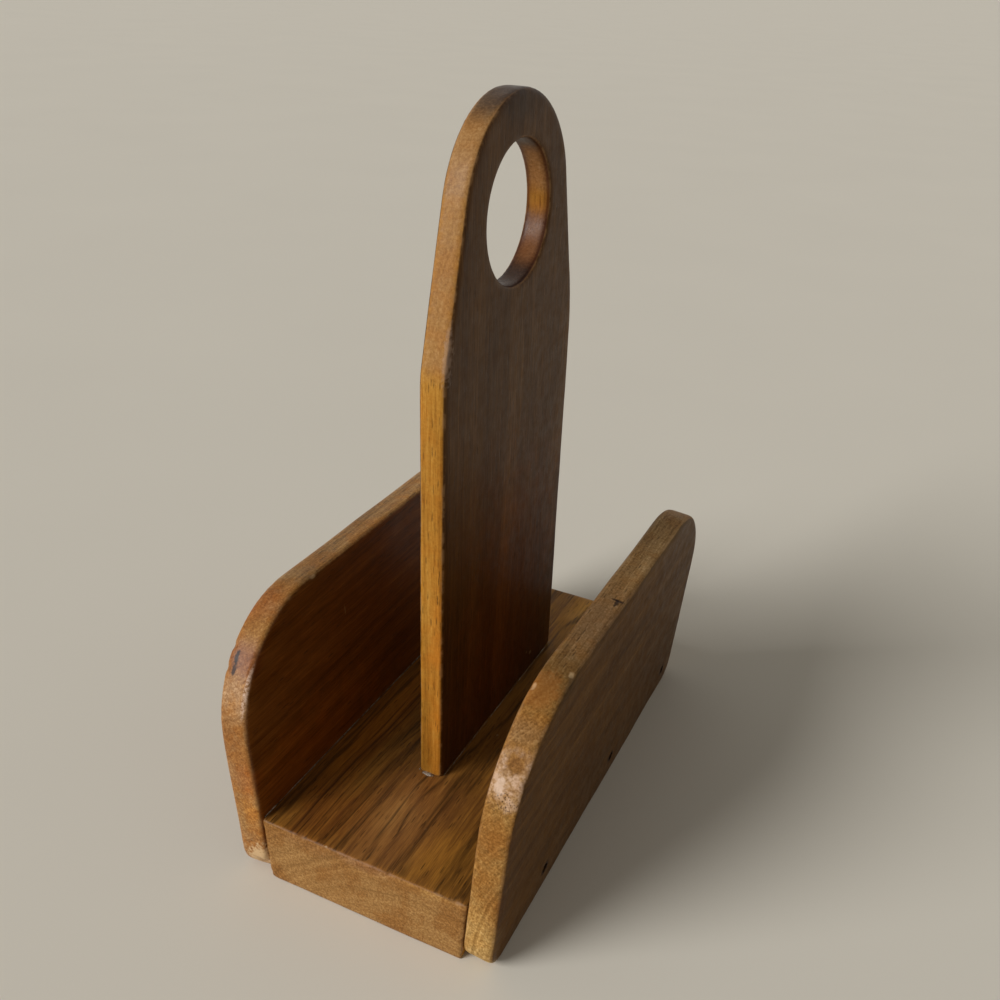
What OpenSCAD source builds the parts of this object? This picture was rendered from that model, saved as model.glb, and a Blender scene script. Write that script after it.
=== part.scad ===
// Napkin holder of four hardwood boards: a thick base, two leaning sides nailed to its
// edges, and a tall centre board with a finger hole, screwed on from below.
// Millimetres. X runs across the sides, Y from front (-) to back (+), Z up.
// The origin is on the table, under the middle of the base.

/* [Base] */
// Length of the base board, front to back
base_length = 157; // [120:1:220]
// Width of the base board across its top face
base_width = 68; // [58:1:110]
// Thickness of the base board
base_thickness = 22; // [16:0.5:32]

/* [Sides] */
// Distance that a side board reaches past each end of the base board
side_overhang = 0.5; // [0:0.5:8]
// Height of a side board, measured up its slope from the table
side_height = 84.5; // [60:0.5:110]
// Thickness of a side board
side_thickness = 9.5; // [6:0.5:14]
// Outward lean of the side boards and of the base's long edges, in degrees
side_lean = 4.5; // [0:0.5:9]
// Radius of the upper corners of a side board
side_top_radius = 35; // [12:1:45]
// Radius of the lower corners of a side board
side_foot_radius = 8; // [3:0.5:14]

/* [Handle board] */
// Width of the handle board, front to back
handle_width = 83; // [74:1:110]
// Thickness of the handle board
handle_thickness = 8; // [6:0.5:14]
// Distance that the handle board stands behind the middle of the base
handle_shift = 2.5; // [-12:0.5:12]
// Height of the shoulders above the base board
shoulder_height = 131; // [90:1:150]
// Height of the finger hole's centre above the base board
hole_height = 166; // [160:1:200]
// Diameter of the finger hole
hole_diameter = 39; // [24:0.5:44]
// Width of the wood around the top of the finger hole
crown_wall = 12.5; // [8:0.5:14]

/* [Edges] */
// Radius of the rounded long edges of the thin boards
edge_radius = 1.5; // [0.5:0.1:2.5]
// Radius of the rounded front and back edges of the base board
base_edge_radius = 1; // [0.5:0.1:4]

// Radius of the rounded rims of the finger hole
hole_edge_radius = 1; // [0.3:0.1:1.5]

/* [Nails] */
// Number of nails in each side board, evenly spaced
nail_count = 3; // [2:1:5]
// Distance of the first nail from the front end of the base board
nail_front_margin = 34; // [12:1:50]
// Distance of the last nail from the back end of the base board
nail_back_margin = 13; // [12:1:50]
// Height of the nails above the underside, measured up the base board's edge
nail_height = 9; // [7:0.5:14]
// Depth that a nail reaches into the base board
nail_grip = 22; // [12:1:24]
// Diameter of a nail's shank
nail_diameter = 1.8; // [1.2:0.1:2.4]
// Diameter of a nail's head
nail_head_diameter = 2.8; // [2.6:0.1:4]
// Thickness of a nail's head
nail_head_height = 1.2; // [0.8:0.1:2]
// Depth of a nail's head below the face of the side board
nail_sink = 0.5; // [0.1:0.1:1.5]

/* [Screws] */
// Distance between the two screws under the handle board
screw_spacing = 52; // [30:1:60]
// Depth that a screw reaches into the handle board
screw_grip = 16; // [10:1:30]
// Diameter of a screw's shank
screw_diameter = 3; // [2:0.1:3.6]
// Diameter of a screw's countersunk head
screw_head_diameter = 6; // [5:0.1:8]
// Depth of a screw's head below the underside of the base board
screw_sink = 0.5; // [0.2:0.1:2]
// Width of the driver slot in a screw's head
slot_width = 0.8; // [0.5:0.1:1.2]
// Depth of the driver slot in a screw's head
slot_depth = 0.7; // [0.3:0.1:1]

/* [Fit] */
// Gap between a nail or screw and the wall of its hole
fastener_gap = 0.1; // [0.05:0.05:0.3]

/* [Hidden] */

// Depth by which tools pass a face that they cut
through = 1;
// Segments of a quarter round on a board's edge
round_steps = 4;
// Facets of the boards' corners and of the fasteners
corner_facets = 96;
fastener_facets = 32;

// The base's underside is narrower than its top, because its edges lean with the sides
base_foot_half = base_width / 2 - base_thickness * tan(side_lean);

hole_radius = hole_diameter / 2;
crown_radius = hole_radius + crown_wall;

// The flanks run straight from the shoulders and touch the crown, a circle round the hole.
// Seen from the hole's centre, they touch it at this angle above the level
shoulder_reach = norm([handle_width / 2, shoulder_height - hole_height]);
shoulder_angle = atan2(shoulder_height - hole_height, handle_width / 2);
flank_angle = shoulder_angle + acos(crown_radius / shoulder_reach);

side_length = base_length + 2 * side_overhang;

nail_first = nail_front_margin - base_length / 2;
nail_last = base_length / 2 - nail_back_margin;
nail_places = [for (i = [0 : nail_count - 1])
                   nail_first + i * (nail_last - nail_first) / (nail_count - 1)];
nail_length = side_thickness - nail_sink + nail_grip;
nail_point = 2 * nail_diameter;

screw_places = [handle_shift - screw_spacing / 2, handle_shift + screw_spacing / 2];
screw_length = base_thickness - screw_sink + screw_grip;
// The countersink is a right-angled cone
screw_head_height = (screw_head_diameter - screw_diameter) / 2;
screw_point = 2 * screw_diameter;

// Points of a rectangle centred on the origin, with all four corners rounded
function rounded_rectangle(width, height, radius) = [
    for (corner = [[1, 1, 0], [-1, 1, 90], [-1, -1, 180], [1, -1, 270]])
        for (step = [0 : round_steps])
            let (angle = corner[2] + 90 * step / round_steps)
                [corner[0] * (width / 2 - radius) + radius * cos(angle),
                 corner[1] * (height / 2 - radius) + radius * sin(angle)]
];

// Points of the right half of a disc's section, with its rim rounded
function rounded_rim(radius, thickness, edge) = [
    [0, -thickness / 2],
    for (step = [0 : round_steps])
        let (angle = -90 + 90 * step / round_steps)
            [radius - edge + edge * cos(angle), -thickness / 2 + edge + edge * sin(angle)],
    for (step = [0 : round_steps])
        let (angle = 90 * step / round_steps)
            [radius - edge + edge * cos(angle), thickness / 2 - edge + edge * sin(angle)],
    [0, thickness / 2]
];

// Disc with its axis along X, one face on the YZ plane, and both rims rounded
module rounded_disc(radius, thickness, edge) {
    translate([thickness / 2, 0, 0])
        rotate([0, 90, 0])
            rotate_extrude($fn = corner_facets)
                polygon(rounded_rim(radius, thickness, edge));
}

// Bar along Y, centred front to back, with rounded edges and one face on the YZ plane
module rounded_bar(length, height, thickness, edge) {
    translate([thickness / 2, length / 2, height / 2])
        rotate([90, 0, 0])
            linear_extrude(length)
                polygon(rounded_rectangle(thickness, height, edge));
}

// Post along Z, centred front to back, with rounded edges and one face on the YZ plane
module rounded_post(length, height, thickness, edge) {
    translate([thickness / 2, 0, 0])
        linear_extrude(height)
            polygon(rounded_rectangle(thickness, length, edge));
}

// Moves a right-hand side's own frame, with its inner face on YZ, to its place
module on_right() {
    translate([base_foot_half, 0, 0])
        rotate([0, side_lean, 0])
            children();
}

// Flat board of a side, standing on the edge of its own frame
module side_blank() {
    for (end = [-1, 1]) {
        translate([0, end * (side_length / 2 - side_top_radius), side_height - side_top_radius])
            rounded_disc(side_top_radius, side_thickness, edge_radius);
        translate([0, end * (side_length / 2 - side_foot_radius), side_foot_radius])
            rounded_disc(side_foot_radius, side_thickness, edge_radius);
    }
    rounded_bar(side_length - 2 * side_top_radius, side_height, side_thickness, edge_radius);
    rounded_bar(side_length - 2 * side_foot_radius, side_height - side_top_radius,
                side_thickness, edge_radius);
    translate([0, 0, side_foot_radius])
        rounded_post(side_length, side_height - side_top_radius - side_foot_radius,
                     side_thickness, edge_radius);
}

// Nail driven in through the outer face, or with a gap, the hole that it fills
module nail(gap) {
    head_x = side_thickness - nail_sink;
    tip_x = head_x - nail_length;
    rotate([0, 90, 0]) {
        translate([0, 0, head_x - nail_head_height])
            cylinder(r = nail_head_diameter / 2 + gap,
                     h = nail_head_height + (gap > 0 ? nail_sink + through : 0));
        translate([0, 0, tip_x + nail_point])
            cylinder(r = nail_diameter / 2 + gap, h = nail_length - nail_point - nail_head_height);
        translate([0, 0, tip_x - gap])
            cylinder(r1 = nail_diameter / 8 + gap, r2 = nail_diameter / 2 + gap, h = nail_point + gap);
    }
}

// Row of nails, or of nail holes, in the right side's place
module nail_row(gap) {
    on_right()
        for (place = nail_places)
            translate([0, place, nail_height])
                nail(gap, $fn = fastener_facets);
}

// Screws driven up through the base, or with a gap, the holes that they fill
module screw_row(gap) {
    for (place = screw_places)
        translate([0, place, screw_sink])
            screw(gap, $fn = fastener_facets);
}

module screw(gap) {
    shank = screw_length - screw_head_height - screw_point;
    if (gap > 0)
        translate([0, 0, -screw_sink - through])
            cylinder(r = screw_head_diameter / 2 + gap, h = screw_sink + through);
    cylinder(r1 = screw_head_diameter / 2 + gap, r2 = screw_diameter / 2 + gap,
             h = screw_head_height);
    translate([0, 0, screw_head_height])
        cylinder(r = screw_diameter / 2 + gap, h = shank);
    translate([0, 0, screw_head_height + shank])
        cylinder(r1 = screw_diameter / 2 + gap, r2 = screw_diameter / 8 + gap,
                 h = screw_point + gap);
}

// Thick plank whose long edges lean with the sides and whose ends are rounded over
module base_board() {
    color("saddlebrown")
        difference() {
            intersection() {
                translate([0, base_length / 2, 0])
                    rotate([90, 0, 0])
                        linear_extrude(base_length)
                            polygon([[-base_foot_half, 0], [base_foot_half, 0],
                                     [base_width / 2, base_thickness],
                                     [-base_width / 2, base_thickness]]);
                translate([-base_width / 2 - through, 0, base_thickness / 2])
                    rotate([90, 0, 90])
                        linear_extrude(base_width + 2 * through)
                            polygon(rounded_rectangle(base_length, base_thickness,
                                                      base_edge_radius));
            }
            nail_row(fastener_gap);
            mirror([1, 0, 0]) nail_row(fastener_gap);
            screw_row(fastener_gap);
        }
}

// Right side board, leaning outwards against the base's edge and cut flat on the table
module side_board() {
    difference() {
        on_right() side_blank();
        translate([0, -side_length, -side_thickness])
            cube([base_width + side_height, 2 * side_length, side_thickness]);
        nail_row(fastener_gap);
    }
}

module right_side() {
    color("sienna") side_board();
}

module left_side() {
    color("sienna") mirror([1, 0, 0]) side_board();
}

// Endless board whose rounded edge lies along the back flank, seen from the hole's centre
module flank_board(reach) {
    translate([handle_thickness / 2, 0, 0])
        rotate([flank_angle, 0, 0])
            translate([0, crown_radius - reach, -reach])
                linear_extrude(2 * reach)
                    polygon(rounded_rectangle(handle_thickness, 2 * reach, edge_radius));
}

// Handle board below the crown, seen from the hole's centre: an upright board drawn in by
// two flank boards. Its top meets the crown's rim where the flanks end, and laps inside it
module handle_shaft() {
    reach = handle_width + hole_height;
    lap = crown_radius - 4 * edge_radius;
    intersection() {
        translate([0, 0, -hole_height])
            rounded_post(handle_width, hole_height + crown_radius, handle_thickness, edge_radius);
        flank_board(reach);
        mirror([0, 1, 0]) flank_board(reach);
        rotate([90, 0, 90])
            linear_extrude(handle_thickness)
                polygon([[-reach, -reach], [reach, -reach],
                         [reach, reach * tan(flank_angle)],
                         [lap * cos(flank_angle), lap * sin(flank_angle)], [0, lap],
                         [-lap * cos(flank_angle), lap * sin(flank_angle)],
                         [-reach, reach * tan(flank_angle)]]);
    }
}

// Sector of a rounded disc round the hole, between the ends of the two flanks
module crown() {
    rotate([90 + flank_angle, 0, 0])
        translate([handle_thickness / 2, 0, 0])
            rotate([0, 90, 0])
                rotate_extrude(angle = 180 - 2 * flank_angle, $fn = corner_facets)
                    polygon(rounded_rim(crown_radius, handle_thickness, edge_radius));
}

// Tool for the finger hole, centred on its middle, that leaves both rims rounded
module finger_hole() {
    face = handle_thickness / 2;
    mouth_radius = hole_radius + hole_edge_radius;
    rotate([0, 90, 0])
        rotate_extrude($fn = corner_facets)
            polygon([
                [0, -face - through],
                [mouth_radius, -face - through],
                for (step = [round_steps : -1 : 0])
                    let (angle = 90 * step / round_steps)
                        [mouth_radius - hole_edge_radius * cos(angle),
                         -face + hole_edge_radius * (1 - sin(angle))],
                for (step = [0 : round_steps])
                    let (angle = 90 * step / round_steps)
                        [mouth_radius - hole_edge_radius * cos(angle),
                         face - hole_edge_radius * (1 - sin(angle))],
                [mouth_radius, face + through],
                [0, face + through]
            ]);
}

// Tall board: straight to the shoulders, then drawn in to a crown round the finger hole
module handle_panel() {
    color("peru")
        difference() {
            translate([-handle_thickness / 2, handle_shift, base_thickness + hole_height]) {
                handle_shaft();
                crown();
            }
            translate([0, handle_shift, base_thickness + hole_height])
                finger_hole();
            screw_row(fastener_gap);
        }
}

module right_side_nails() {
    color("dimgray") nail_row(0);
}

module left_side_nails() {
    color("dimgray") mirror([1, 0, 0]) nail_row(0);
}

module handle_screws() {
    color("silver")
        difference() {
            screw_row(0);
            for (place = screw_places)
                translate([-screw_head_diameter, place - slot_width / 2, screw_sink - through])
                    cube([2 * screw_head_diameter, slot_width, through + slot_depth]);
        }
}

base_board();
left_side();
right_side();
handle_panel();
left_side_nails();
right_side_nails();
handle_screws();
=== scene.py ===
import bpy
import bmesh
import math
from mathutils import Matrix, Vector, Euler


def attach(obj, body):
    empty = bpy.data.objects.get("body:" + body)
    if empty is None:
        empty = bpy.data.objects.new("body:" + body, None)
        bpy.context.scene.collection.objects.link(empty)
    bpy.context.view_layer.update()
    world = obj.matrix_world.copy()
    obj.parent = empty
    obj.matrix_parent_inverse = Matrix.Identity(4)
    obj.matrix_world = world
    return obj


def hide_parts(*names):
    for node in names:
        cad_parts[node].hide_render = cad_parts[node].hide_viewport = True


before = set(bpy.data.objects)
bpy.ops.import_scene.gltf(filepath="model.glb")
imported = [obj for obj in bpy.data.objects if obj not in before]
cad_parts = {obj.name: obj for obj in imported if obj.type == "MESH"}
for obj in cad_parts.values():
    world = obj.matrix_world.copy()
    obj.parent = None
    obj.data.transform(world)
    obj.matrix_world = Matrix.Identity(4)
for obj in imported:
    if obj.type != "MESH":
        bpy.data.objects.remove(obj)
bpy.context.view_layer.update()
mm = 0.001
near = 0.5  # mm within which an edge or a face counts as being at a place
lean = 4.5  # degrees that the side boards lean outwards

# the photograph's angle, in mm and degrees
view = {
    "place": (121.36, -252.08, 248.07),
    "azimuth": 23.99,
    "height": 27.12,
    "roll": 2.78,
    "lens": 36.976,
    "sensor": 36,
    "shift": (-0.0218, -0.0101),
    "nearest": 10,
}
bpy.ops.object.camera_add(location=Vector(view["place"]) * mm)
camera = bpy.context.object
turn = Euler((math.radians(90 - view["height"]), 0, math.radians(view["azimuth"]))).to_matrix()
camera.rotation_euler = (turn @ Matrix.Rotation(math.radians(view["roll"]), 3, "Z")).to_euler()
camera.data.lens = view["lens"]
camera.data.sensor_width = view["sensor"]
camera.data.shift_x, camera.data.shift_y = view["shift"]
camera.data.clip_start = view["nearest"] * mm
bpy.context.scene.camera = camera
bpy.context.scene.view_settings.view_transform = "Standard"
print("camera set")


def clearSelection():
    if bpy.context.mode != "OBJECT":
        bpy.ops.object.mode_set(mode="OBJECT")
    bpy.ops.object.select_all(action="DESELECT")


def selectOnly(piece):
    clearSelection()
    piece.select_set(True)
    bpy.context.view_layer.objects.active = piece


def editWhole(piece):
    # opens the piece in edit mode with all of it selected
    selectOnly(piece)
    bpy.ops.object.mode_set(mode="EDIT")
    bpy.ops.mesh.select_all(action="SELECT")


def pick(kind, test):
    # in edit mode: selects what passes the test, and nothing else
    bpy.ops.mesh.select_mode(type=kind)
    bpy.ops.mesh.select_all(action="DESELECT")
    data = bpy.context.edit_object.data
    mesh = bmesh.from_edit_mesh(data)
    for part in {"VERT": mesh.verts, "EDGE": mesh.edges, "FACE": mesh.faces}[kind]:
        part.select_set(bool(test(part)))
    mesh.select_flush_mode()
    bmesh.update_edit_mesh(data)


def middle(part):
    return sum((v.co for v in part.verts), Vector()) / len(part.verts) / mm


def along(edge, axis):
    # is the edge parallel to that axis
    run = (edge.verts[0].co - edge.verts[1].co).normalized()
    return abs(run[axis]) > 0.999


def onArris(edge):
    # does the edge part a broad face from a narrow one
    return len({round(face.normal.x) for face in edge.link_faces}) > 1


def applyModifier(piece, kind, **settings):
    bpy.context.view_layer.objects.active = piece
    step = piece.modifiers.new(kind, kind)
    for key, value in settings.items():
        setattr(step, key, value)
    bpy.ops.object.modifier_apply(modifier=step.name)


def applyPlace(piece):
    selectOnly(piece)
    bpy.ops.object.transform_apply(location=True, rotation=True, scale=True)


def addBlock(name, size, centre):
    clearSelection()
    bpy.ops.mesh.primitive_cube_add(size=1, location=Vector(centre) * mm)
    piece = bpy.context.object
    piece.name = piece.data.name = name
    piece.scale = Vector(size) * mm
    applyPlace(piece)
    return piece


def bevelEdges(test, width, steps):
    pick("EDGE", test)
    bpy.ops.mesh.bevel(offset=width * mm, segments=steps, affect="EDGES", clamp_overlap=False)


def drill(piece, radius, depth, place, turn=(0, 0, 0), tipRadius=None, facets=32):
    # cuts a round or conical hole, and takes the tool away
    clearSelection()
    bpy.ops.mesh.primitive_cone_add(vertices=facets, radius1=radius * mm,
                                    radius2=(radius if tipRadius is None else tipRadius) * mm,
                                    depth=depth * mm, location=Vector(place) * mm,
                                    rotation=[math.radians(a) for a in turn])
    tool = bpy.context.object
    applyModifier(piece, "BOOLEAN", operation="DIFFERENCE", solver="EXACT", object=tool)
    bpy.data.objects.remove(tool)


def mergeSlivers(piece):
    # takes out the needle faces that cutting leaves where two cuts meet
    editWhole(piece)
    bpy.ops.mesh.remove_doubles(threshold=mm / 100)
    bpy.ops.mesh.dissolve_degenerate(threshold=mm / 1000)
    bpy.ops.object.mode_set(mode="OBJECT")


def handWork(piece, grid, waves):
    # even small faces, then the slight waves that hand planing and sanding leave
    applyModifier(piece, "REMESH", mode="VOXEL", voxel_size=grid * mm, use_smooth_shade=True)
    applyModifier(piece, "SMOOTH", factor=0.5, iterations=3)
    for number, (size, height) in enumerate(waves):
        waver = bpy.data.textures.new(f"{piece.name}Wave{number}", "CLOUDS")
        waver.noise_scale = size * mm
        waver.noise_depth = 1
        applyModifier(piece, "DISPLACE", texture=waver, strength=height * mm, mid_level=0.5,
                      texture_coords="LOCAL")
        bpy.data.textures.remove(waver)


def flattenFoot(piece):
    # planes the underside off flat, where the object stands
    editWhole(piece)
    bpy.ops.mesh.bisect(plane_co=(0, 0, 0), plane_no=(0, 0, -1), use_fill=True, clear_outer=True,
                        threshold=mm / 1000)
    pick("FACE", lambda f: f.normal.z < -0.99 and middle(f).z < 0.01)
    bpy.ops.mesh.faces_shade_flat()
    bpy.ops.object.mode_set(mode="OBJECT")


def knock(piece, knocks):
    # presses dents and chips in: place, direction of the push, and reach, all in mm
    editWhole(piece)
    for place, push, reach in knocks:
        spot = Vector(place) * mm
        mesh = bmesh.from_edit_mesh(piece.data)
        nearest = min(mesh.verts, key=lambda v: (v.co - spot).length_squared)
        pick("VERT", lambda v: v.co == nearest.co)
        bpy.ops.transform.translate(value=Vector(push) * mm, use_proportional_edit=True,
                                    proportional_edit_falloff="SMOOTH",
                                    proportional_size=reach * mm)
    bpy.ops.object.mode_set(mode="OBJECT")


base = {
    "length": 157, "width": 68, "thickness": 22, "edgeRound": 1, "arris": 0.4, "grid": 0.75,
    "sunk": 0.3,  # starts this much lower, so that the waves of the underside can be planed off flat
    "waves": [(14, 0.18), (4, 0.05)],
    "screws": [-23.5, 28.5],
    # the tools of one screw's hole: radius, tip radius, depth and height of the middle
    "screwHole": [(3.1, 3.1, 0.98, -0.01), (3.17, 1.5, 1.67, 1.265), (1.6, 1.6, 23.5, 12.75)],
    "knocks": [((-20, -78.5, 22), (0, 0.3, -0.35), 2.2), ((9, -78.5, 22), (0, 0.25, -0.3), 1.6),
               ((30, -78.5, 22), (0, 0.3, -0.3), 2), ((-33, -78.5, 1), (0.12, 0.25, 0.15), 2.5)],
}


def makeBase(spec):
    height = spec["thickness"] + spec["sunk"]
    piece = addBlock("baseBoard", (spec["width"], spec["length"], height), (0, 0, height / 2))
    narrowed = 1 - 2 * spec["thickness"] * math.tan(math.radians(lean)) / spec["width"]
    bpy.ops.object.mode_set(mode="EDIT")
    pick("FACE", lambda f: middle(f).z < near)
    bpy.ops.transform.resize(value=(narrowed, 1, 1))
    bevelEdges(lambda e: along(e, 0), spec["edgeRound"], steps=4)
    bevelEdges(lambda e: along(e, 1), spec["arris"], steps=2)
    bpy.ops.object.mode_set(mode="OBJECT")
    piece.location.z = -spec["sunk"] * mm
    applyPlace(piece)
    handWork(piece, spec["grid"], spec["waves"])
    flattenFoot(piece)
    knock(piece, spec["knocks"])
    # the tools of a screw's hole overlap, so that none of their faces coincide
    for y in spec["screws"]:
        for radius, tip, depth, z in spec["screwHole"]:
            drill(piece, radius, depth, (0, y, z), tipRadius=tip)
    mergeSlivers(piece)
    return piece


sides = {
    "length": 158, "height": 84.5, "thickness": 9.5,
    "topRound": 35, "footRound": 8, "edgeRound": 1.5,
    "foot": 32.269, "grid": 0.75,
    "waves": [(24, 0.3), (7, 0.03)],
    "nails": [-44.5, 10.5, 65.5], "nailHeight": 9,
    "nailHole": {"radius": 1.5, "depth": 2.6, "sunk": 0.4},
    "knocks": {
        -1: [((-48, -69, 74), (0.35, 0.2, -0.3), 1.6), ((-39, -41, 84), (-0.2, 0, -0.3), 1.4),
             ((-47, -72, 68), (0.2, 0.25, -0.1), 1.8), ((-34, -79, 3), (0, 0.9, 0.5), 3),
             ((-36, -79, 5), (0, 0.5, 0), 1.6), ((-33, -79, 7), (0, 0.5, 0), 1.3)],
        1: [((46, -8.7, 84), (0, 0, -0.35), 1.6), ((39.4, -55, 82.4), (0.25, 0, -0.3), 1.6),
            ((48, -47.5, 83.4), (-0.25, 0, -0.25), 1.8), ((49, -66, 76), (-0.15, 0.1, -0.15), 2.4),
            ((49, -73.5, 66), (-0.3, 0.2, -0.15), 2.2)],
    },
}


def makeSide(name, hand):
    spec = sides
    thick = spec["thickness"]
    piece = addBlock(name, (thick, spec["length"], spec["height"]),
                     (hand * thick / 2, 0, spec["height"] / 2))
    bpy.ops.object.mode_set(mode="EDIT")
    bevelEdges(lambda e: along(e, 0) and middle(e).z > spec["height"] - near, spec["topRound"],
               steps=22)
    bevelEdges(lambda e: along(e, 0) and middle(e).z < near, spec["footRound"], steps=8)
    bevelEdges(lambda e: not along(e, 0) and onArris(e), spec["edgeRound"], steps=4)
    bpy.ops.object.mode_set(mode="OBJECT")
    handWork(piece, spec["grid"], spec["waves"])
    piece.location.x = hand * spec["foot"] * mm
    piece.rotation_euler.y = hand * math.radians(lean)
    applyPlace(piece)
    flattenFoot(piece)
    knock(piece, spec["knocks"][hand])
    return piece


def nailPoint(hand, y, sunk=0):
    # where a nail goes into the outer face, or a point that deep below it
    tilt = math.radians(lean)
    out, up = sides["thickness"] - sunk, sides["nailHeight"]
    x = sides["foot"] + out * math.cos(tilt) + up * math.sin(tilt)
    z = up * math.cos(tilt) - out * math.sin(tilt)
    return (hand * x, y, z)


def drillSide(piece, hand):
    # the holes stand square to the leaning face
    hole = sides["nailHole"]
    for y in sides["nails"]:
        drill(piece, hole["radius"], hole["depth"], nailPoint(hand, y, hole["sunk"]),
              turn=(0, hand * (90 + lean), 0))


handle = {
    "width": 83, "thickness": 8, "shoulder": 131, "shift": 2.5,
    "holeHeight": 166, "holeRadius": 19.5, "crown": 32, "foot": base["thickness"],
    "edgeRound": 1.3, "holeRound": 0.9, "shoulderRounds": {-1: 3, 1: 9}, "grid": 0.72,
    "waves": [(26, 0.25), (7, 0.05)],
    "facets": 128, "drillLength": 30,
}


def makeHandle(spec):
    holeZ = spec["foot"] + spec["holeHeight"]
    shoulderZ = spec["foot"] + spec["shoulder"]
    piece = addBlock("handleBoard", (spec["thickness"], spec["width"], spec["shoulder"]),
                     (0, spec["shift"], spec["foot"] + spec["shoulder"] / 2))
    bpy.ops.object.mode_set(mode="EDIT")
    bpy.ops.mesh.select_all(action="DESELECT")
    bpy.ops.mesh.primitive_cylinder_add(vertices=spec["facets"], radius=spec["crown"] * mm,
                                        depth=spec["thickness"] * mm,
                                        location=(0, spec["shift"] * mm, holeZ * mm),
                                        rotation=(0, math.pi / 2, 0))
    bpy.ops.mesh.select_all(action="SELECT")
    bpy.ops.mesh.convex_hull()
    bpy.ops.mesh.select_all(action="SELECT")
    bpy.ops.mesh.dissolve_limited(angle_limit=math.radians(0.5))
    for side, width in spec["shoulderRounds"].items():
        bevelEdges(lambda e: along(e, 0) and abs(middle(e).z - shoulderZ) < near
                   and middle(e).y * side > 0, width, steps=6)
    bevelEdges(lambda e: onArris(e) and middle(e).z > spec["foot"] + near, spec["edgeRound"], steps=4)
    bpy.ops.object.mode_set(mode="OBJECT")
    drill(piece, spec["holeRadius"], spec["drillLength"], (0, spec["shift"], holeZ), turn=(0, 90, 0),
          facets=spec["facets"])
    bpy.ops.object.mode_set(mode="EDIT")
    centre = Vector((0, spec["shift"], holeZ))

    def onRim(edge):
        reach = middle(edge) - centre
        reach.x = 0
        return abs(reach.length - spec["holeRadius"]) < near and onArris(edge)
    bevelEdges(onRim, spec["holeRound"], steps=3)
    bpy.ops.object.mode_set(mode="OBJECT")
    handWork(piece, spec["grid"], spec["waves"])
    return piece


baseBoard = makeBase(base)
print("base board made", len(baseBoard.data.polygons))
leftSide = makeSide("leftBoard", -1)
rightSide = makeSide("rightBoard", 1)
drillSide(leftSide, -1)
drillSide(rightSide, 1)
print("side boards made", len(leftSide.data.polygons), len(rightSide.data.polygons))
handleBoard = makeHandle(handle)
print("handle board made", len(handleBoard.data.polygons))

glue = {
    "blob": {"place": (-0.6, -39.2, 22.1), "size": (2.0, 0.8, 0.6), "lump": 1.1, "lumpHeight": 0.7},
    "joints": {"glueAtHandle": [(4.05, -37.4), (4.05, 43.6)], "glueAtLeft": [(-33.9, -77), (-33.9, 77)],
               "glueBehindHandle": [(-4.05, -38.6), (-4.05, 43.6)]},
    "bead": {"radius": 0.17, "facets": 8, "cuts": 160, "pinch": 4, "pinchDepth": 0.4},
}


def makeBlob(spec):
    clearSelection()
    bpy.ops.mesh.primitive_ico_sphere_add(subdivisions=4, radius=mm,
                                          location=Vector(spec["place"]) * mm)
    piece = bpy.context.object
    piece.name = piece.data.name = "glueBlob"
    piece.scale = spec["size"]
    applyPlace(piece)
    lump = bpy.data.textures.new("glueLump", "CLOUDS")
    lump.noise_scale = spec["lump"] * mm
    applyModifier(piece, "DISPLACE", texture=lump, strength=spec["lumpHeight"] * mm,
                  texture_coords="LOCAL")
    bpy.ops.object.shade_smooth()
    return piece


def makeBead(name, ends, spec):
    # a thin round rod along the joint, swollen and pinched by a slow wave
    clearSelection()
    start, stop = (Vector((*end, base["thickness"])) for end in ends)
    run = stop - start
    bpy.ops.mesh.primitive_cylinder_add(vertices=spec["facets"], radius=spec["radius"] * mm,
                                        depth=run.length * mm, location=(start + stop) / 2 * mm,
                                        rotation=run.to_track_quat("Z", "X").to_euler())
    piece = bpy.context.object
    piece.name = piece.data.name = name
    applyPlace(piece)
    bpy.ops.object.mode_set(mode="EDIT")
    pick("EDGE", lambda e: along(e, 1))
    bpy.ops.mesh.subdivide(number_cuts=spec["cuts"])
    bpy.ops.object.mode_set(mode="OBJECT")
    pinch = bpy.data.textures.new(name + "Pinch", "CLOUDS")
    pinch.noise_scale = spec["pinch"] * mm
    applyModifier(piece, "DISPLACE", texture=pinch, strength=spec["pinchDepth"] * mm, mid_level=0.6,
                  texture_coords="LOCAL")
    bpy.ops.object.shade_smooth()
    return piece


gluePieces = [makeBlob(glue["blob"])]
gluePieces += [makeBead(name, ends, glue["bead"]) for name, ends in glue["joints"].items()]
print("glue made")

pieces = {
    "base_board": (baseBoard, "base_wood"),
    "left_side": (leftSide, "side_wood"),
    "right_side": (rightSide, "side_wood"),
    "handle_panel": (handleBoard, "handle_wood"),
}
for node, (piece, slot) in pieces.items():
    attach(piece, "root")
    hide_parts(node)


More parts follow.
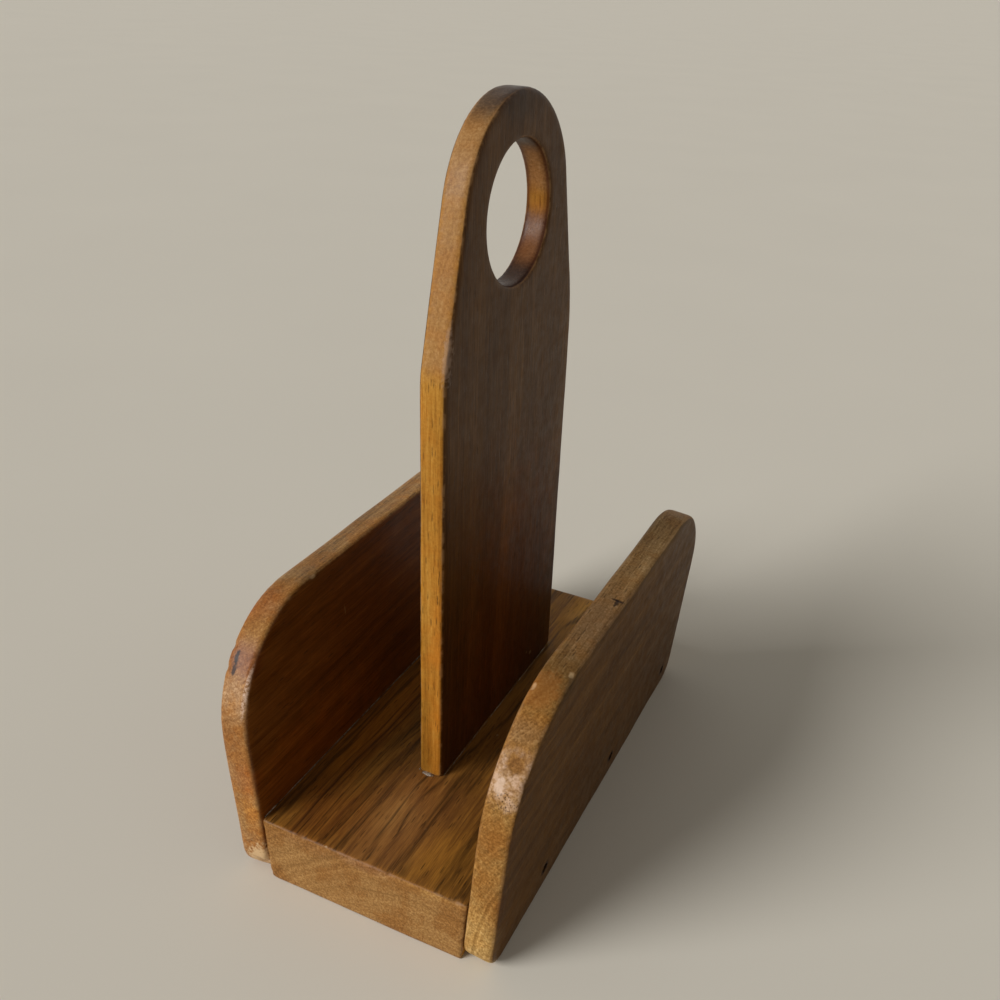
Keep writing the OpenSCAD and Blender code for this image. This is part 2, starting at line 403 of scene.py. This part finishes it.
class Shade:
    # writes one material's nodes: a value that is a socket is linked, any other is set
    def __init__(self, name):
        self.material = bpy.data.materials.new(name)
        self.material.use_nodes = True
        self.tree = self.material.node_tree
        self.finish = self.tree.nodes["Principled BSDF"]
        surface = self.add("TexCoord").outputs
        self.place = surface["Object"]
        self.facing = surface["Normal"]

    def wire(self, socket, value):
        if isinstance(value, bpy.types.NodeSocket):
            self.tree.links.new(value, socket)
        else:
            socket.default_value = value

    def add(self, kind, inputs=None, **settings):
        node = self.tree.nodes.new("ShaderNode" + kind)
        for key, value in settings.items():
            setattr(node, key, value)
        for key, value in (inputs or {}).items():
            self.wire(node.inputs[key], value)
        return node

    def maths(self, operation, a, b=0.0, c=0.0, clamp=False):
        return self.add("Math", {0: a, 1: b, 2: c}, operation=operation, use_clamp=clamp).outputs[0]

    def times(self, product, *factors):
        for factor in factors:
            product = self.maths("MULTIPLY", product, factor)
        return product

    def span(self, value, low, high, toLow=0.0, toHigh=1.0):
        return self.add("MapRange", {"Value": value, "From Min": low, "From Max": high,
                                     "To Min": toLow, "To Max": toHigh},
                        interpolation_type="SMOOTHSTEP").outputs[0]

    def scaled(self, scale, move=(0, 0, 0), turn=(0, 0, 0)):
        return self.add("Mapping", {"Vector": self.place, "Scale": scale, "Location": move,
                                    "Rotation": turn}).outputs[0]

    def noise(self, where, scale=1.0, detail=2.0, rough=0.5):
        return self.add("TexNoise", {"Vector": where, "Scale": scale, "Detail": detail,
                                     "Roughness": rough}).outputs[0]

    def ramp(self, value, stops):
        node = self.add("ValToRGB", {"Fac": value})
        points = node.color_ramp.elements
        while len(points) < len(stops):
            points.new(1)
        for point, (at, colour) in zip(points, stops):
            point.position = at
            point.color = (*colour, 1)
        return node.outputs[0]

    def blend(self, amount, a, b, mode="MIX"):
        # a Mix node's colours go in at 6 and 7 and come out at 2
        node = self.add("Mix", data_type="RGBA", blend_type=mode)
        for index, value in ((0, amount), (6, a), (7, b)):
            if isinstance(value, tuple) and len(value) == 3:
                value = (*value, 1)
            self.wire(node.inputs[index], value)
        return node.outputs[2]

    def spot(self, centre, size, edge=0.35, ragged=0.5, grain=900):
        # mask of a blotch: centre and half sizes in mm, with a ragged rim
        shift = tuple(-c / s for c, s in zip(centre, size))
        around = self.scaled(tuple(1000 / s for s in size), move=shift)
        reach = self.add("VectorMath", {0: around}, operation="LENGTH").outputs["Value"]
        rim = self.noise(self.place, scale=grain, detail=3)
        reach = self.maths("ADD", reach, self.maths("MULTIPLY_ADD", rim, ragged, -ragged / 2))
        return self.span(reach, 1 + edge, 1 - edge)


# what all four boards' wood has in common
figure = {
    # size across and along the grain in mm, detail and roughness
    "streak": (0.8, 26, 4, 0.65), "fibre": (0.34, 8, 3, 0.7), "cloud": (9, 40, 3, 0.55),
    "pore": (0.9, 7), "poreRim": (0.30, 0.16), "poreBreak": (0.48, 0.56),
    "arrisFrom": (0.25, 0.55), "arrisTo": (0.8, 0.98), "mottleFrom": (0.42, 0.60),
    "lineBreak": (0.35, 0.6), "satinFrom": (0.3, 0.7),
    "relief": {"fibre": 0.5, "streak": 0.4, "pore": -0.6, "cells": 0.5},
    "bump": 0.25, "bumpDepth": 0.3, "coatRoughness": 0.22,
}


def woodFinish(name, look):
    # solid wood: growth bands round the heart of the tree, fibres, pores and clouds
    wood = Shade(name)
    wood.sheen = look["sheen"]
    grain = look["grain"]
    cross = [a for a in range(3) if a != grain]

    def stretched(short, long):
        scale = [1000 / short] * 3
        scale[grain] = 1000 / long
        return tuple(scale)

    def fibres(short, long, detail, rough):
        return wood.noise(wood.scaled(stretched(short, long), turn=look["tilt"]),
                          detail=detail, rough=rough)

    def rings(spacing, detail):
        return wood.add("TexNoise", {"W": wood.times(reach, 1 / spacing), "Scale": 1.0,
                                     "Detail": detail, "Roughness": 0.6},
                        noise_dimensions="1D").outputs[0]
    parts = wood.add("SeparateXYZ", {0: wood.scaled((1000, 1000, 1000), turn=look["tilt"])}).outputs
    bend = wood.noise(wood.scaled(stretched(look["bendAcross"], look["bendAlong"])), detail=3)
    bend = wood.times(wood.maths("SUBTRACT", bend, 0.5), look["bend"])
    squares = [wood.maths("POWER", wood.maths("SUBTRACT", parts[a], h), 2)
               for a, h in zip(cross, look["heart"])]
    reach = wood.maths("ADD", wood.maths("SQRT", wood.maths("ADD", *squares)), bend)
    band = rings(look["ring"], detail=4.0)
    streak = fibres(*figure["streak"])
    fibre = fibres(*figure["fibre"])
    cloud = fibres(*figure["cloud"])
    cells = wood.noise(wood.place, scale=1300, detail=3, rough=0.75)
    shares = (look["bandShare"], look["streakShare"], look["fibreShare"], look["cloudShare"])
    tone = 0.5 - sum(shares) / 2
    for layer, share in zip((band, streak, fibre, cloud), shares):
        tone = wood.maths("MULTIPLY_ADD", layer, share, tone)

    def squareness(axis, low, high):
        # how squarely the surface faces along an axis
        facing = wood.add("VectorMath", {0: wood.facing, 1: axis},
                          operation="DOT_PRODUCT").outputs["Value"]
        return wood.span(wood.maths("ABSOLUTE", facing), low, high)
    grainAxis = tuple(float(a == grain) for a in range(3))
    face = squareness(look["faceAxis"], *look["faceFrom"])
    offFace = wood.maths("SUBTRACT", 1.0, face)
    slant = squareness(grainAxis, *look["slantFrom"])
    end = squareness(grainAxis, *look["endFrom"])
    arris = wood.maths("SUBTRACT", squareness(look["faceAxis"], *figure["arrisFrom"]),
                       squareness(look["faceAxis"], *figure["arrisTo"]), clamp=True)
    # edges show lighter than the broad faces, partly as the wood's own colour and partly as painted
    # shade on the broad faces, and across the grain they are granular
    grit = wood.maths("SUBTRACT", cells, 0.5)
    edge = wood.ramp(wood.maths("MULTIPLY_ADD", grit, look["edgeCells"], tone), look["edgeTones"])
    ringLines = wood.maths("SUBTRACT", rings(look["endGap"], detail=3.0), 0.5)
    granular = wood.maths("MULTIPLY_ADD", ringLines, look["endBands"],
                          wood.maths("MULTIPLY_ADD", grit, look["cells"], 0.5))
    edge = wood.blend(slant, edge, wood.ramp(granular, look["slantTones"]))
    edge = wood.blend(end, edge, wood.ramp(granular, look["endTones"]))
    mottle = wood.span(wood.noise(wood.place, scale=look["mottleScale"], detail=4, rough=0.6),
                       *figure["mottleFrom"])
    edge = wood.blend(wood.times(mottle, look["mottle"]), edge, look["mottleTint"], mode="MULTIPLY")
    colour = wood.blend(face, edge, wood.ramp(tone, look["faceTones"]))
    # thin dark lines between the growth bands
    line = wood.maths("ABSOLUTE", wood.maths("SUBTRACT", rings(look["lineGap"], detail=1.0), 0.5))
    line = wood.times(wood.span(line, look["lineWidth"], 0.0),
                      wood.span(streak, *figure["lineBreak"]), face, look["lineDepth"])
    colour = wood.blend(line, colour, look["poreColour"])
    # pores: short dark dashes along the grain
    pores = wood.add("TexVoronoi", {"Vector": wood.scaled(stretched(*figure["pore"]), turn=look["tilt"]),
                                    "Scale": 1.0}).outputs["Distance"]
    pore = wood.times(wood.span(pores, *figure["poreRim"]), wood.span(fibre, *figure["poreBreak"]),
                      wood.maths("SUBTRACT", 1.0, slant))
    colour = wood.blend(wood.times(pore, look["poreDepth"]), colour, look["poreColour"])
    # arrises rubbed through to paler wood here and there
    scuff = wood.noise(wood.place, scale=240, detail=5, rough=0.65)
    rub = wood.times(arris, wood.span(scuff, *look["rubFrom"]), look["rub"])
    colour = wood.blend(rub, colour, look["rubColour"])
    relief = figure["relief"]
    height = wood.maths("MULTIPLY_ADD", fibre, relief["fibre"], wood.times(streak, relief["streak"]))
    height = wood.maths("MULTIPLY_ADD", pore, relief["pore"], height)
    height = wood.maths("MULTIPLY_ADD", wood.times(cells, slant), relief["cells"], height)
    rough = wood.span(scuff, *figure["satinFrom"], *look["satin"])
    return wood, colour, height, rough, {"face": face, "offFace": offFace, "cells": cells}


def marked(wood, colour, marks):
    # blotches: place and half sizes in mm, strength, tint, and how ragged they are
    for centre, size, amount, tint, ragged in marks:
        mask = wood.times(wood.spot(centre, size, ragged=ragged), amount)
        colour = wood.blend(mask, colour, tint)
    return colour


def paintPatchesAndLight(wood, colour, patchesAndLight):
    # broad soft patches that darken, lighten or warm the wood: place and half sizes in mm, and tint;
    # some are the wood's own colour and some are painted light, as noted where they are listed
    for centre, size, tint in patchesAndLight:
        mask = wood.spot(centre, size, edge=0.7, ragged=1.0, grain=190)
        colour = wood.blend(mask, colour, tint, mode="MULTIPLY")
    return colour


def closeWood(wood, colour, rough, height):
    wood.wire(wood.finish.inputs["Base Color"], colour)
    wood.wire(wood.finish.inputs["Roughness"], rough)
    wood.finish.inputs["Coat Weight"].default_value = wood.sheen / 3
    wood.finish.inputs["Coat Roughness"].default_value = figure["coatRoughness"]
    wood.finish.inputs["Specular IOR Level"].default_value = wood.sheen
    bumped = wood.add("Bump", {"Strength": figure["bump"], "Distance": figure["bumpDepth"] * mm,
                               "Height": height})
    wood.wire(wood.finish.inputs["Normal"], bumped.outputs[0])
    return wood.material


leanAngle = math.radians(lean)
stain, bare, waxPale = (0.014, 0.006, 0.004), (0.62, 0.42, 0.22), (0.52, 0.36, 0.26)
handleLook = {
    "grain": 2, "tilt": (0.02, 0.01, 0), "heart": (-60, 20), "ring": 5,
    "bend": 9, "bendAcross": 30, "bendAlong": 120,
    "bandShare": 0.35, "streakShare": 0.6, "fibreShare": 0.6, "cloudShare": 0.35, "endBands": 0.25,
    "lineGap": 3.2, "lineWidth": 0.03, "lineDepth": 0.3,
    # the broad faces' tones are darker than the edges', partly as painted shade
    "faceTones": [(0.22, (0.034, 0.012, 0.003)), (0.43, (0.075, 0.030, 0.006)),
                  (0.58, (0.105, 0.045, 0.010)), (0.80, (0.185, 0.086, 0.022))],
    "edgeTones": [(0.22, (0.20, 0.080, 0.009)), (0.43, (0.37, 0.162, 0.020)),
                  (0.58, (0.46, 0.215, 0.032)), (0.78, (0.58, 0.31, 0.065))],
    "slantTones": [(0.25, (0.20, 0.092, 0.026)), (0.50, (0.33, 0.168, 0.056)),
                   (0.74, (0.46, 0.260, 0.105))],
    "endTones": [(0.28, (0.040, 0.020, 0.009)), (0.50, (0.085, 0.047, 0.022)),
                 (0.74, (0.160, 0.095, 0.050))],
    "endFrom": (0.70, 0.93), "slantFrom": (0.03, 0.34), "cells": 0.8, "edgeCells": 0.35,
    "endGap": 1.3, "mottle": 0.6, "mottleScale": 130, "mottleTint": (0.96, 0.82, 0.62),
    "faceFrom": (0.42, 0.76),
    "faceAxis": (1, 0, 0),
    "poreDepth": 0.7, "poreColour": (0.022, 0.008, 0.002),
    "rub": 0.4, "rubFrom": (0.44, 0.62), "rubColour": (0.38, 0.21, 0.09),
    "satin": (0.34, 0.5), "sheen": 0.10,
}
sideLook = dict(
    handleLook, grain=1, tilt=(0.05, 0, 0), heart=(125, -10), ring=4, cells=1.15, endBands=0.45,
    bend=5, edgeCells=0.9, mottleScale=150, endGap=1.0, faceFrom=(0.72, 0.93), sheen=0.045,
    faceTones=[(0.22, (0.045, 0.017, 0.004)), (0.43, (0.094, 0.040, 0.009)),
               (0.58, (0.134, 0.060, 0.014)), (0.80, (0.225, 0.112, 0.032))],
    edgeTones=[(0.22, (0.10, 0.046, 0.012)), (0.43, (0.24, 0.120, 0.036)),
               (0.58, (0.31, 0.165, 0.055)), (0.78, (0.46, 0.27, 0.11))],
    slantTones=[(0.25, (0.14, 0.060, 0.014)), (0.50, (0.28, 0.132, 0.032)),
                (0.74, (0.43, 0.225, 0.066))],
    endTones=[(0.22, (0.16, 0.078, 0.018)), (0.50, (0.31, 0.160, 0.044)),
              (0.78, (0.52, 0.300, 0.100))],
    endFrom=(0.5, 0.9),
    faceAxis=(math.cos(leanAngle), 0, -math.sin(leanAngle)))
leftLook = dict(
    sideLook, heart=(30, -80), tilt=(-0.06, 0, 0), cells=1.25, endBands=0.35, endGap=1.3, bend=9,
    mottle=0.85, mottleTint=(0.98, 0.80, 0.50), sheen=0.13,
    faceTones=[(0.25, (0.068, 0.018, 0.001)), (0.43, (0.130, 0.039, 0.004)),
               (0.58, (0.175, 0.056, 0.008)), (0.78, (0.250, 0.090, 0.016))],
    slantTones=[(0.22, (0.19, 0.082, 0.026)), (0.50, (0.34, 0.165, 0.058)),
                (0.76, (0.50, 0.280, 0.120))],
    endTones=[(0.22, (0.19, 0.082, 0.024)), (0.50, (0.34, 0.165, 0.056)),
              (0.76, (0.50, 0.280, 0.115))],
    faceAxis=(math.cos(leanAngle), 0, math.sin(leanAngle)))
baseLook = dict(
    handleLook, grain=1, tilt=(0, 0, 0.03), heart=(25, -42), ring=7, endFrom=(0.5, 0.9),
    lineGap=2.6, lineWidth=0.09, lineDepth=0.75, endBands=0.45, cells=1.5,
    mottle=0.85, mottleScale=95, mottleTint=(0.80, 0.68, 0.52), endGap=2.6,
    bandShare=0.8, streakShare=0.35, fibreShare=0.45, cloudShare=0.3, faceAxis=(0, 0, 1),
    faceTones=[(0.28, (0.095, 0.034, 0.008)), (0.43, (0.190, 0.076, 0.014)),
               (0.54, (0.285, 0.120, 0.020)), (0.66, (0.370, 0.166, 0.030)),
               (0.82, (0.48, 0.245, 0.055))],
    endTones=[(0.22, (0.19, 0.090, 0.024)), (0.50, (0.31, 0.155, 0.045)),
              (0.78, (0.47, 0.260, 0.090))],
    rub=0.3, rubColour=(0.34, 0.20, 0.10))


def nailStains(hand):
    # dark iron stains where the nails went in
    return [(nailPoint(hand, y), (2.5, 2.4, 2.1), 0.95, stain, 0.9) for y in sides["nails"]]


handleMarks = {
    "patchesAndLight": [
        ((4, 2, 218), (7, 12, 6), (0.55, 0.55, 0.72)),
        # painted light: these two lighten and redden the lower right face, which lies in shade between
        # the handle and the right board
        ((4, 2, 62), (5, 48, 48), (1.25, 1.0, 0.7)),
        ((4, 12, 55), (5, 30, 40), (1.6, 1.35, 0.8)),
    ],
    "blotches": [
        ((4, 25.8, 28.5), (0.5, 0.9, 0.7), 0.7, bare, 0.9),
        ((4, 22.5, 30.5), (0.5, 0.5, 0.5), 0.6, bare, 0.9),
        ((3.3, -37.5, 161), (0.9, 2.6, 9), 0.35, waxPale, 1.6),
    ],
    "hole": {"through": 20, "tint": (0.80, 0.76, 0.80), "gloss": 0.1,
             "lowFrom": 1, "lowTo": 6, "lowAmount": 0.85, "lowTint": (0.50, 0.40, 0.42),
             "lipOut": 0.8, "lipIn": 0.15, "lipTint": (0.34, 0.27, 0.30)},
}


def finishHandle():
    wood, colour, height, rough, masks = woodFinish("oiledHandleWood", handleLook)
    colour = paintPatchesAndLight(wood, colour, handleMarks["patchesAndLight"])
    colour = marked(wood, colour, handleMarks["blotches"])
    hole = handleMarks["hole"]
    holeZ = handle["foot"] + handle["holeHeight"]

    def disc(radius, edge):
        return wood.spot((0, handle["shift"], holeZ), (hole["through"], radius, radius), edge=edge,
                         ragged=0)
    # the lower half of the finger hole is darker and redder than the upper
    rimRadius = handle["holeRadius"] + handle["holeRound"]
    inHole = wood.times(disc(rimRadius, edge=0.04), masks["offFace"])
    level = wood.add("SeparateXYZ", {0: wood.place}).outputs[2]
    low = wood.span(level, (holeZ - hole["lowFrom"]) * mm, (holeZ - hole["lowTo"]) * mm)
    low = wood.times(low, hole["lowAmount"])
    colour = wood.blend(inHole, colour, hole["tint"], mode="MULTIPLY")
    colour = wood.blend(wood.times(inHole, low), colour, hole["lowTint"], mode="MULTIPLY")
    # a dark line runs round its rounded rim
    lip = wood.maths("SUBTRACT", disc(rimRadius + hole["lipOut"], edge=0.02),
                     disc(handle["holeRadius"] + hole["lipIn"], edge=0.01), clamp=True)
    colour = wood.blend(wood.times(lip, masks["offFace"]), colour, hole["lipTint"], mode="MULTIPLY")
    rough = wood.maths("MULTIPLY_ADD", inHole, -hole["gloss"], rough)
    return closeWood(wood, colour, rough, height)


leftMarks = {
    "patchesAndLight": [
        ((-46, -56, 81), (5, 7, 5), (0.86, 0.66, 0.48)),
        ((-42, -63.5, 78), (7, 4, 4), (0.95, 0.88, 0.62)),
        ((-42, -70.8, 71.8), (7, 4, 4.6), (0.72, 0.56, 0.55)),
        # this pales the front edge's rounding towards pink, partly as the wood's colour and partly as
        # painted sheen
        ((-41, -76, 62), (5, 4, 6), (1.2, 1.35, 1.8)),
        # painted light: these two lighten the inner face, which lies in shade between the board and the
        # handle
        ((-36, 15, 52), (7, 55, 42), (1.5, 1.35, 0.95)),
        ((-34.5, -50, 27), (5, 32, 14), (1.5, 1.35, 1.0)),
        ((-44, -79, 50), (4.5, 4, 8), (0.86, 0.76, 0.62)),
        ((-38, -79, 36), (3.5, 4, 5), (0.90, 0.72, 0.55)),
        ((-38.6, -79, 22), (5, 4, 7), (0.98, 1.0, 0.9)),
        ((-36, -79, 13), (3, 4, 5), (0.88, 0.80, 0.66)),
    ],
    # a painted highlight along the inner arris: place and half sizes in mm
    "paintedGlint": {"place": (-38.2, -74, 64), "size": (0.7, 5, 9), "cellBreak": (0.35, 0.6),
               "amount": 0.8, "colour": (0.74, 0.54, 0.42)},
    "blotches": [
        ((-44.4, -70.8, 71.8), (0.75, 1.9, 1.7), 0.95, (0.018, 0.007, 0.006), 2.2),
        ((-43.9, -72.2, 68.6), (0.65, 1.9, 2.0), 0.9, (0.018, 0.007, 0.006), 2.2),
        ((-34.5, -79, 5.0), (5, 2.5, 6), 0.9, bare, 2.2),
        ((-39.2, -40.6, 83.6), (0.5, 1.1, 0.6), 0.5, bare, 1.0),
        ((-37.4, -27.7, 64.6), (0.6, 0.3, 1.6), 0.22, bare, 0.8),
    ],
}


def finishLeft():
    wood, colour, height, rough, masks = woodFinish("oiledLeftWood", leftLook)
    colour = paintPatchesAndLight(wood, colour, leftMarks["patchesAndLight"])
    # a painted highlight: a pale streak along the inner arris, broken up by the grain cells
    paintedGlint = leftMarks["paintedGlint"]
    glintMask = wood.times(wood.spot(paintedGlint["place"], paintedGlint["size"], ragged=0.9),
                          wood.span(masks["cells"], *paintedGlint["cellBreak"]), masks["offFace"],
                          paintedGlint["amount"])
    colour = wood.blend(glintMask, colour, paintedGlint["colour"])
    colour = marked(wood, colour, nailStains(-1) + leftMarks["blotches"])
    return closeWood(wood, colour, rough, height)


rightMarks = {
    "patchesAndLight": [
        ((44, -22, 84), (8, 16, 5), (0.80, 0.84, 1.05)),
        ((44, -50, 83), (8, 10, 5), (0.70, 0.75, 0.80)),
        ((42, -66, 76.5), (6, 3, 3), (0.95, 1.05, 1.5)),
        ((43, -71.7, 70.3), (2.6, 2.3, 2.6), (0.72, 0.66, 0.68)),
        ((40, -79, 50), (5, 4, 6), (0.86, 0.74, 0.62)),
        ((38, -79, 34), (3, 4, 7), (0.98, 0.9, 0.8)),
        ((42, -79, 26), (2.5, 4, 8), (0.84, 0.72, 0.58)),
        ((37, -79, 11), (7, 4, 12), (1.38, 1.55, 1.8)),
        # painted reflection: this lightens and greys the back of the top edge, as a pale backdrop shines
        # in it
        ((43, 30, 84), (8, 28, 5), (1.45, 1.65, 2.0)),
    ],
    # the wax patch's pale colour is partly a painted highlight
    "waxGlint": {"place": (44, -73.5, 67), "size": (9, 6.5, 7), "amount": 0.75,
            "colour": (0.60, 0.40, 0.27), "gloss": 0.18,
            "cellBreak": (0.30, 0.56, 0.35, 1.0), "patchBreak": (0.40, 0.56, 0.35, 1.15)},
    "clean": {"place": (43, -71.7, 70.3), "size": (2.6, 2.4, 2.6)},
    "pits": {"place": (42, -76.5, 61), "size": (3.5, 2.6, 3.5), "rim": (0.42, 0.36), "amount": 0.8},
    "blotches": [
        ((46.1, -8.7, 83.7), (1.3, 0.6, 1), 0.9, stain, 1.9),
        ((45.6, -10.2, 83.7), (0.5, 2.2, 1), 0.85, stain, 1.6),
        ((44.6, -9.0, 83.7), (0.9, 0.45, 1), 0.8, stain, 1.9),
        ((39.6, -55.1, 82.2), (0.8, 1.3, 0.8), 0.8, bare, 0.9),
        ((47.2, -47.4, 83.3), (0.8, 1.0, 0.8), 0.7, bare, 0.9),
        # painted highlight: a pale spot inside the waxed corner
        ((40.6, -75, 65), (1.3, 1.8, 2.6), 0.5, (0.80, 0.60, 0.46), 2.4),
        ((37.5, -79, 1.5), (9, 3, 2.6), 0.75, (0.64, 0.46, 0.15), 1.6),
        ((42, -56, 83), (5, 7, 4), 0.35, (0.38, 0.12, 0.02), 1.0),
        ((45.2, 75.5, 41), (1, 0.8, 3), 0.8, stain, 1.4),
        ((45.8, 74, 50), (1, 0.6, 1.6), 0.6, stain, 1.4),
    ],
}


def finishRight():
    wood, colour, height, rough, masks = woodFinish("oiledRightWood", sideLook)
    colour = paintPatchesAndLight(wood, colour, rightMarks["patchesAndLight"])
    # old wax on the rounded corner, broken up, with a clean spot in it; its pale colour is partly the
    # wax and partly a painted highlight
    waxGlint, clean, pits = rightMarks["waxGlint"], rightMarks["clean"], rightMarks["pits"]
    waxGlintMask = wood.maths("SUBTRACT", wood.spot(waxGlint["place"], waxGlint["size"], ragged=0.9, grain=260),
                       wood.spot(clean["place"], clean["size"]), clamp=True)
    broken = wood.noise(wood.place, scale=420, detail=4, rough=0.65)
    waxGlintMask = wood.times(waxGlintMask, wood.span(masks["cells"], *waxGlint["cellBreak"]),
                       wood.span(broken, *waxGlint["patchBreak"]), masks["offFace"])
    colour = wood.blend(wood.times(waxGlintMask, waxGlint["amount"]), colour, waxGlint["colour"])
    pitted = wood.times(wood.spot(pits["place"], pits["size"], ragged=1.2),
                        wood.span(wood.noise(wood.place, scale=1900, detail=2), *pits["rim"]),
                        pits["amount"])
    colour = wood.blend(pitted, colour, stain)
    colour = marked(wood, colour, nailStains(1) + rightMarks["blotches"])
    rough = wood.maths("MULTIPLY_ADD", waxGlintMask, -waxGlint["gloss"], rough)
    return closeWood(wood, colour, rough, height)


baseMarks = {
    "plum": {"place": (2, -58, 22), "size": (12, 24, 3), "amount": 0.8, "tint": (0.90, 0.86, 1.35)},
    "patchesAndLight": [
        ((-18, -68, 22), (9, 14, 5), (0.80, 0.68, 0.64)),
        # painted light: these four lighten the top, which lies in shade between the boards; the one at
        # the back is also a painted reflection
        ((0, -59, 22), (6, 8, 4), (1.2, 1.3, 1.35)),
        ((20, -67, 22), (9, 9, 4), (1.4, 1.42, 1.2)),
        ((-27, -20, 22), (6, 32, 4), (1.5, 1.3, 0.85)),
        ((8, 66, 22), (28, 24, 5), (1.6, 1.75, 1.7)),
    ],
    "dust": {"scale": 180.0, "rim": (0.10, 0.05), "few": (0.80, 0.86), "amount": 0.6,
             "colour": (0.45, 0.30, 0.16)},
}


def finishBase():
    wood, colour, height, rough, masks = woodFinish("oiledBaseWood", baseLook)
    plum, dust = baseMarks["plum"], baseMarks["dust"]
    stained = wood.times(wood.spot(plum["place"], plum["size"], edge=0.6, ragged=0.8, grain=70),
                         plum["amount"])
    colour = wood.blend(stained, colour, plum["tint"], mode="MULTIPLY")
    colour = paintPatchesAndLight(wood, colour, baseMarks["patchesAndLight"])
    # a few specks of pale dust and filler lie on the top
    specks = wood.add("TexVoronoi", {"Vector": wood.place, "Scale": dust["scale"]}).outputs
    chance = wood.add("SeparateColor", {0: specks["Color"]}).outputs[0]
    speck = wood.times(wood.span(specks["Distance"], *dust["rim"]), wood.span(chance, *dust["few"]),
                       masks["face"], dust["amount"])
    colour = wood.blend(speck, colour, dust["colour"])
    return closeWood(wood, colour, rough, height)


def finishSteel(name, colour, rust):
    steel = Shade(name)
    patch = steel.noise(steel.place, scale=900, detail=4, rough=0.6)
    steel.wire(steel.finish.inputs["Base Color"],
               steel.ramp(patch, [(0.35, colour), (0.65, rust)]))
    steel.finish.inputs["Metallic"].default_value = 1
    steel.wire(steel.finish.inputs["Roughness"], steel.span(patch, 0.3, 0.7, 0.35, 0.6))
    return steel.material


def finishGlue():
    dried = Shade("driedGlue")
    milk = dried.noise(dried.place, scale=700, detail=3)
    dried.wire(dried.finish.inputs["Base Color"],
               dried.ramp(milk, [(0.35, (0.12, 0.07, 0.04)), (0.65, (0.38, 0.30, 0.22))]))
    dried.wire(dried.finish.inputs["Roughness"], dried.span(milk, 0.3, 0.7, 0.25, 0.5))
    dried.finish.inputs["Subsurface Weight"].default_value = 0.15
    dried.finish.inputs["Subsurface Scale"].default_value = mm
    return dried.material


baseBoard.data.materials.append(finishBase())
handleBoard.data.materials.append(finishHandle())
leftSide.data.materials.append(finishLeft())
rightSide.data.materials.append(finishRight())
driedGlue = finishGlue()
for piece in gluePieces:
    piece.data.materials.append(driedGlue)
    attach(piece, "root")
nailSteel = finishSteel("darkNailSteel", (0.05, 0.045, 0.04), (0.07, 0.035, 0.02))
screwSteel = finishSteel("screwSteel", (0.5, 0.49, 0.47), (0.36, 0.32, 0.28))
for node, metal in (("left_side_nails", nailSteel), ("right_side_nails", nailSteel),
                    ("handle_screws", screwSteel)):
    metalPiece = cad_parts[node]
    metalPiece.data.materials.clear()
    metalPiece.data.materials.append(metal)
print("materials set")

studio = {
    "floor": {"size": 80, "colour": (0.76, 0.71, 0.61), "shade": 0.98, "roughness": 0.8},
    "key": {"place": (-0.62, -0.80, 0.52), "spread": 32, "strength": 2.8},
    "room": 0.22, "backdrop": 0.62, "air": (1, 0.965, 0.90),
}
ground = studio["floor"]
clearSelection()
bpy.ops.mesh.primitive_plane_add(size=ground["size"])
floor = bpy.context.object
floor.name = "floor"
paint = Shade("plainFloor")
paint.wire(paint.finish.inputs["Base Color"],
           paint.ramp(paint.noise(paint.place, scale=6, detail=3),
                      [(0.3, tuple(c * ground["shade"] for c in ground["colour"])),
                       (0.7, ground["colour"])]))
paint.finish.inputs["Roughness"].default_value = ground["roughness"]
floor.data.materials.append(paint.material)

# one broad soft light from the front left, as a window gives
bpy.ops.object.light_add(type="SUN", location=studio["key"]["place"])
keyLight = bpy.context.object
keyLight.name = "windowLight"
keyLight.data.energy = studio["key"]["strength"]
keyLight.data.angle = math.radians(studio["key"]["spread"])
keyLight.rotation_euler = Vector(studio["key"]["place"]).to_track_quat("Z", "Y").to_euler()

# the room's light on the object is dimmer than the backdrop that the camera and reflections see
world = bpy.data.worlds.new("studioAir")
bpy.context.scene.world = world
world.use_nodes = True
sky = world.node_tree
glow = sky.nodes["Background"]
path = sky.nodes.new("ShaderNodeLightPath")
seen = path.outputs["Is Camera Ray"]
for ray in ("Is Glossy Ray", "Is Transmission Ray"):
    either = sky.nodes.new("ShaderNodeMath")
    either.operation = "MAXIMUM"
    sky.links.new(seen, either.inputs[0])
    sky.links.new(path.outputs[ray], either.inputs[1])
    seen = either.outputs[0]
strength = sky.nodes.new("ShaderNodeMapRange")
sky.links.new(seen, strength.inputs["Value"])
strength.inputs["To Min"].default_value = studio["room"]
strength.inputs["To Max"].default_value = studio["backdrop"]
glow.inputs["Color"].default_value = (*studio["air"], 1)
sky.links.new(strength.outputs[0], glow.inputs["Strength"])
print("floor and light set")
